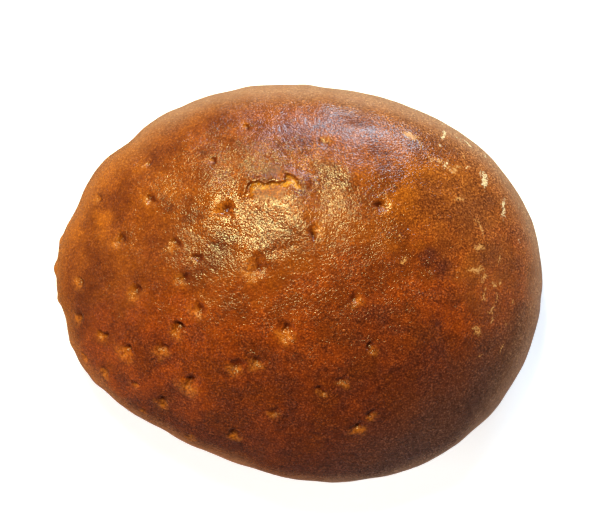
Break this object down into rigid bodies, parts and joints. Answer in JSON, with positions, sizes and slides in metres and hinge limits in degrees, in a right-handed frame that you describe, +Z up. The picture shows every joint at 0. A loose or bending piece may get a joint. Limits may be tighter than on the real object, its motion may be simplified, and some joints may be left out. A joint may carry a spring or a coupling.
{
  "type": "rye bread loaf",
  "caption": "Oval rye hearth loaf with a domed glossy brown crust, pricked before baking, a burst blister near its top and a flat base to rest on.",
  "frame": {"origin": "middle of the flat base", "axes": "+X along the loaf towards its broad end, +Y across it, +Z up"},
  "size_m": [0.2292, 0.187, 0.0762],
  "materials": {
    "crust": "glossy orange-brown crust, darker in patches, with fine grain, pale flour flecks and a duller floury base"
  },
  "bodies": {
    "root": {"loaf": "crust"}
  },
  "joints": []
}
